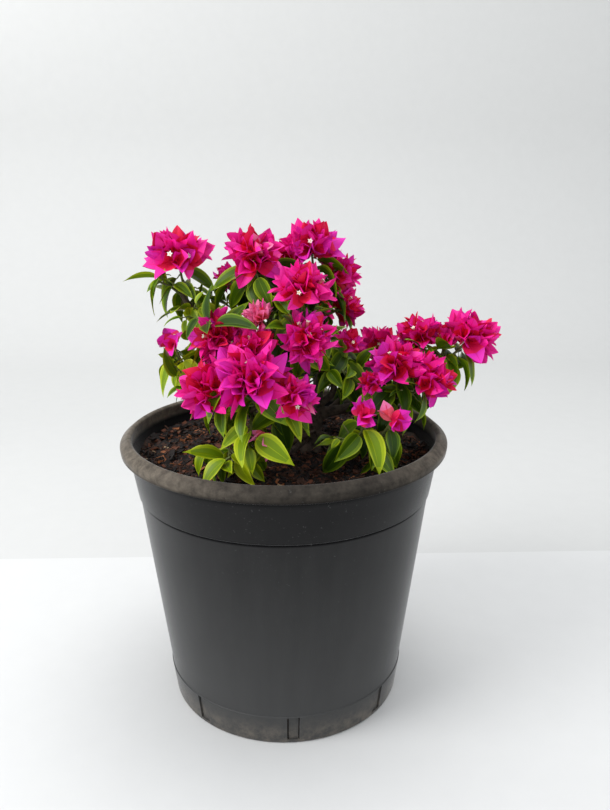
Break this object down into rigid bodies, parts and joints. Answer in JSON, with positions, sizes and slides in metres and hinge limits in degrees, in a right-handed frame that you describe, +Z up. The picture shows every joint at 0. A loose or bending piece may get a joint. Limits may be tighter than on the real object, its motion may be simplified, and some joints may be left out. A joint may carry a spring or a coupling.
{
  "type": "bougainvillea bush in a nursery pot",
  "caption": "Low flowering bougainvillea bush with pink bracts and green leaves, in a round black plastic nursery pot filled with bark compost.",
  "frame": {"origin": "centre of the pot's flat underside", "axes": "+Z up, front of the bush towards -Y, +X to the viewer's right; the long right-hand branch reaches along +X"},
  "size_m": [0.344, 0.3, 0.4459],
  "materials": {
    "pot_plastic": "satin",
    "compost": "matte",
    "bark": "matte",
    "blossom_and_leaves": "matte",
    "foliage": "satin"
  },
  "bodies": {
    "root": {"pot": "pot_plastic", "soil": "compost", "trunk": "bark", "bough_top_left": "bark", "bough_left_low": "bark", "bough_centre": "bark", "bough_top_centre": "bark", "bough_top_right": "bark", "bough_front": "bark", "bough_left_centre": "bark", "bough_low_left": "bark", "bough_inner_right": "bark", "bough_right": "bark", "bough_right_front": "bark", "bough_low_right": "bark", "bough_back_left": "bark", "bough_back_high": "bark", "bough_back_low": "bark", "bough_back_right": "bark", "mass_top_left": "blossom_and_leaves", "mass_left_low": "blossom_and_leaves", "mass_top_centre": "blossom_and_leaves", "mass_top_right": "blossom_and_leaves", "mass_centre": "blossom_and_leaves", "mass_left_centre": "blossom_and_leaves", "mass_front": "blossom_and_leaves", "mass_low_left": "foliage", "mass_inner_right": "blossom_and_leaves", "mass_right_front": "blossom_and_leaves", "mass_right": "blossom_and_leaves", "mass_low_right": "blossom_and_leaves", "mass_back_left": "blossom_and_leaves", "mass_back_high": "blossom_and_leaves", "mass_back_low": "blossom_and_leaves", "mass_back_right": "blossom_and_leaves"}
  },
  "joints": []
}
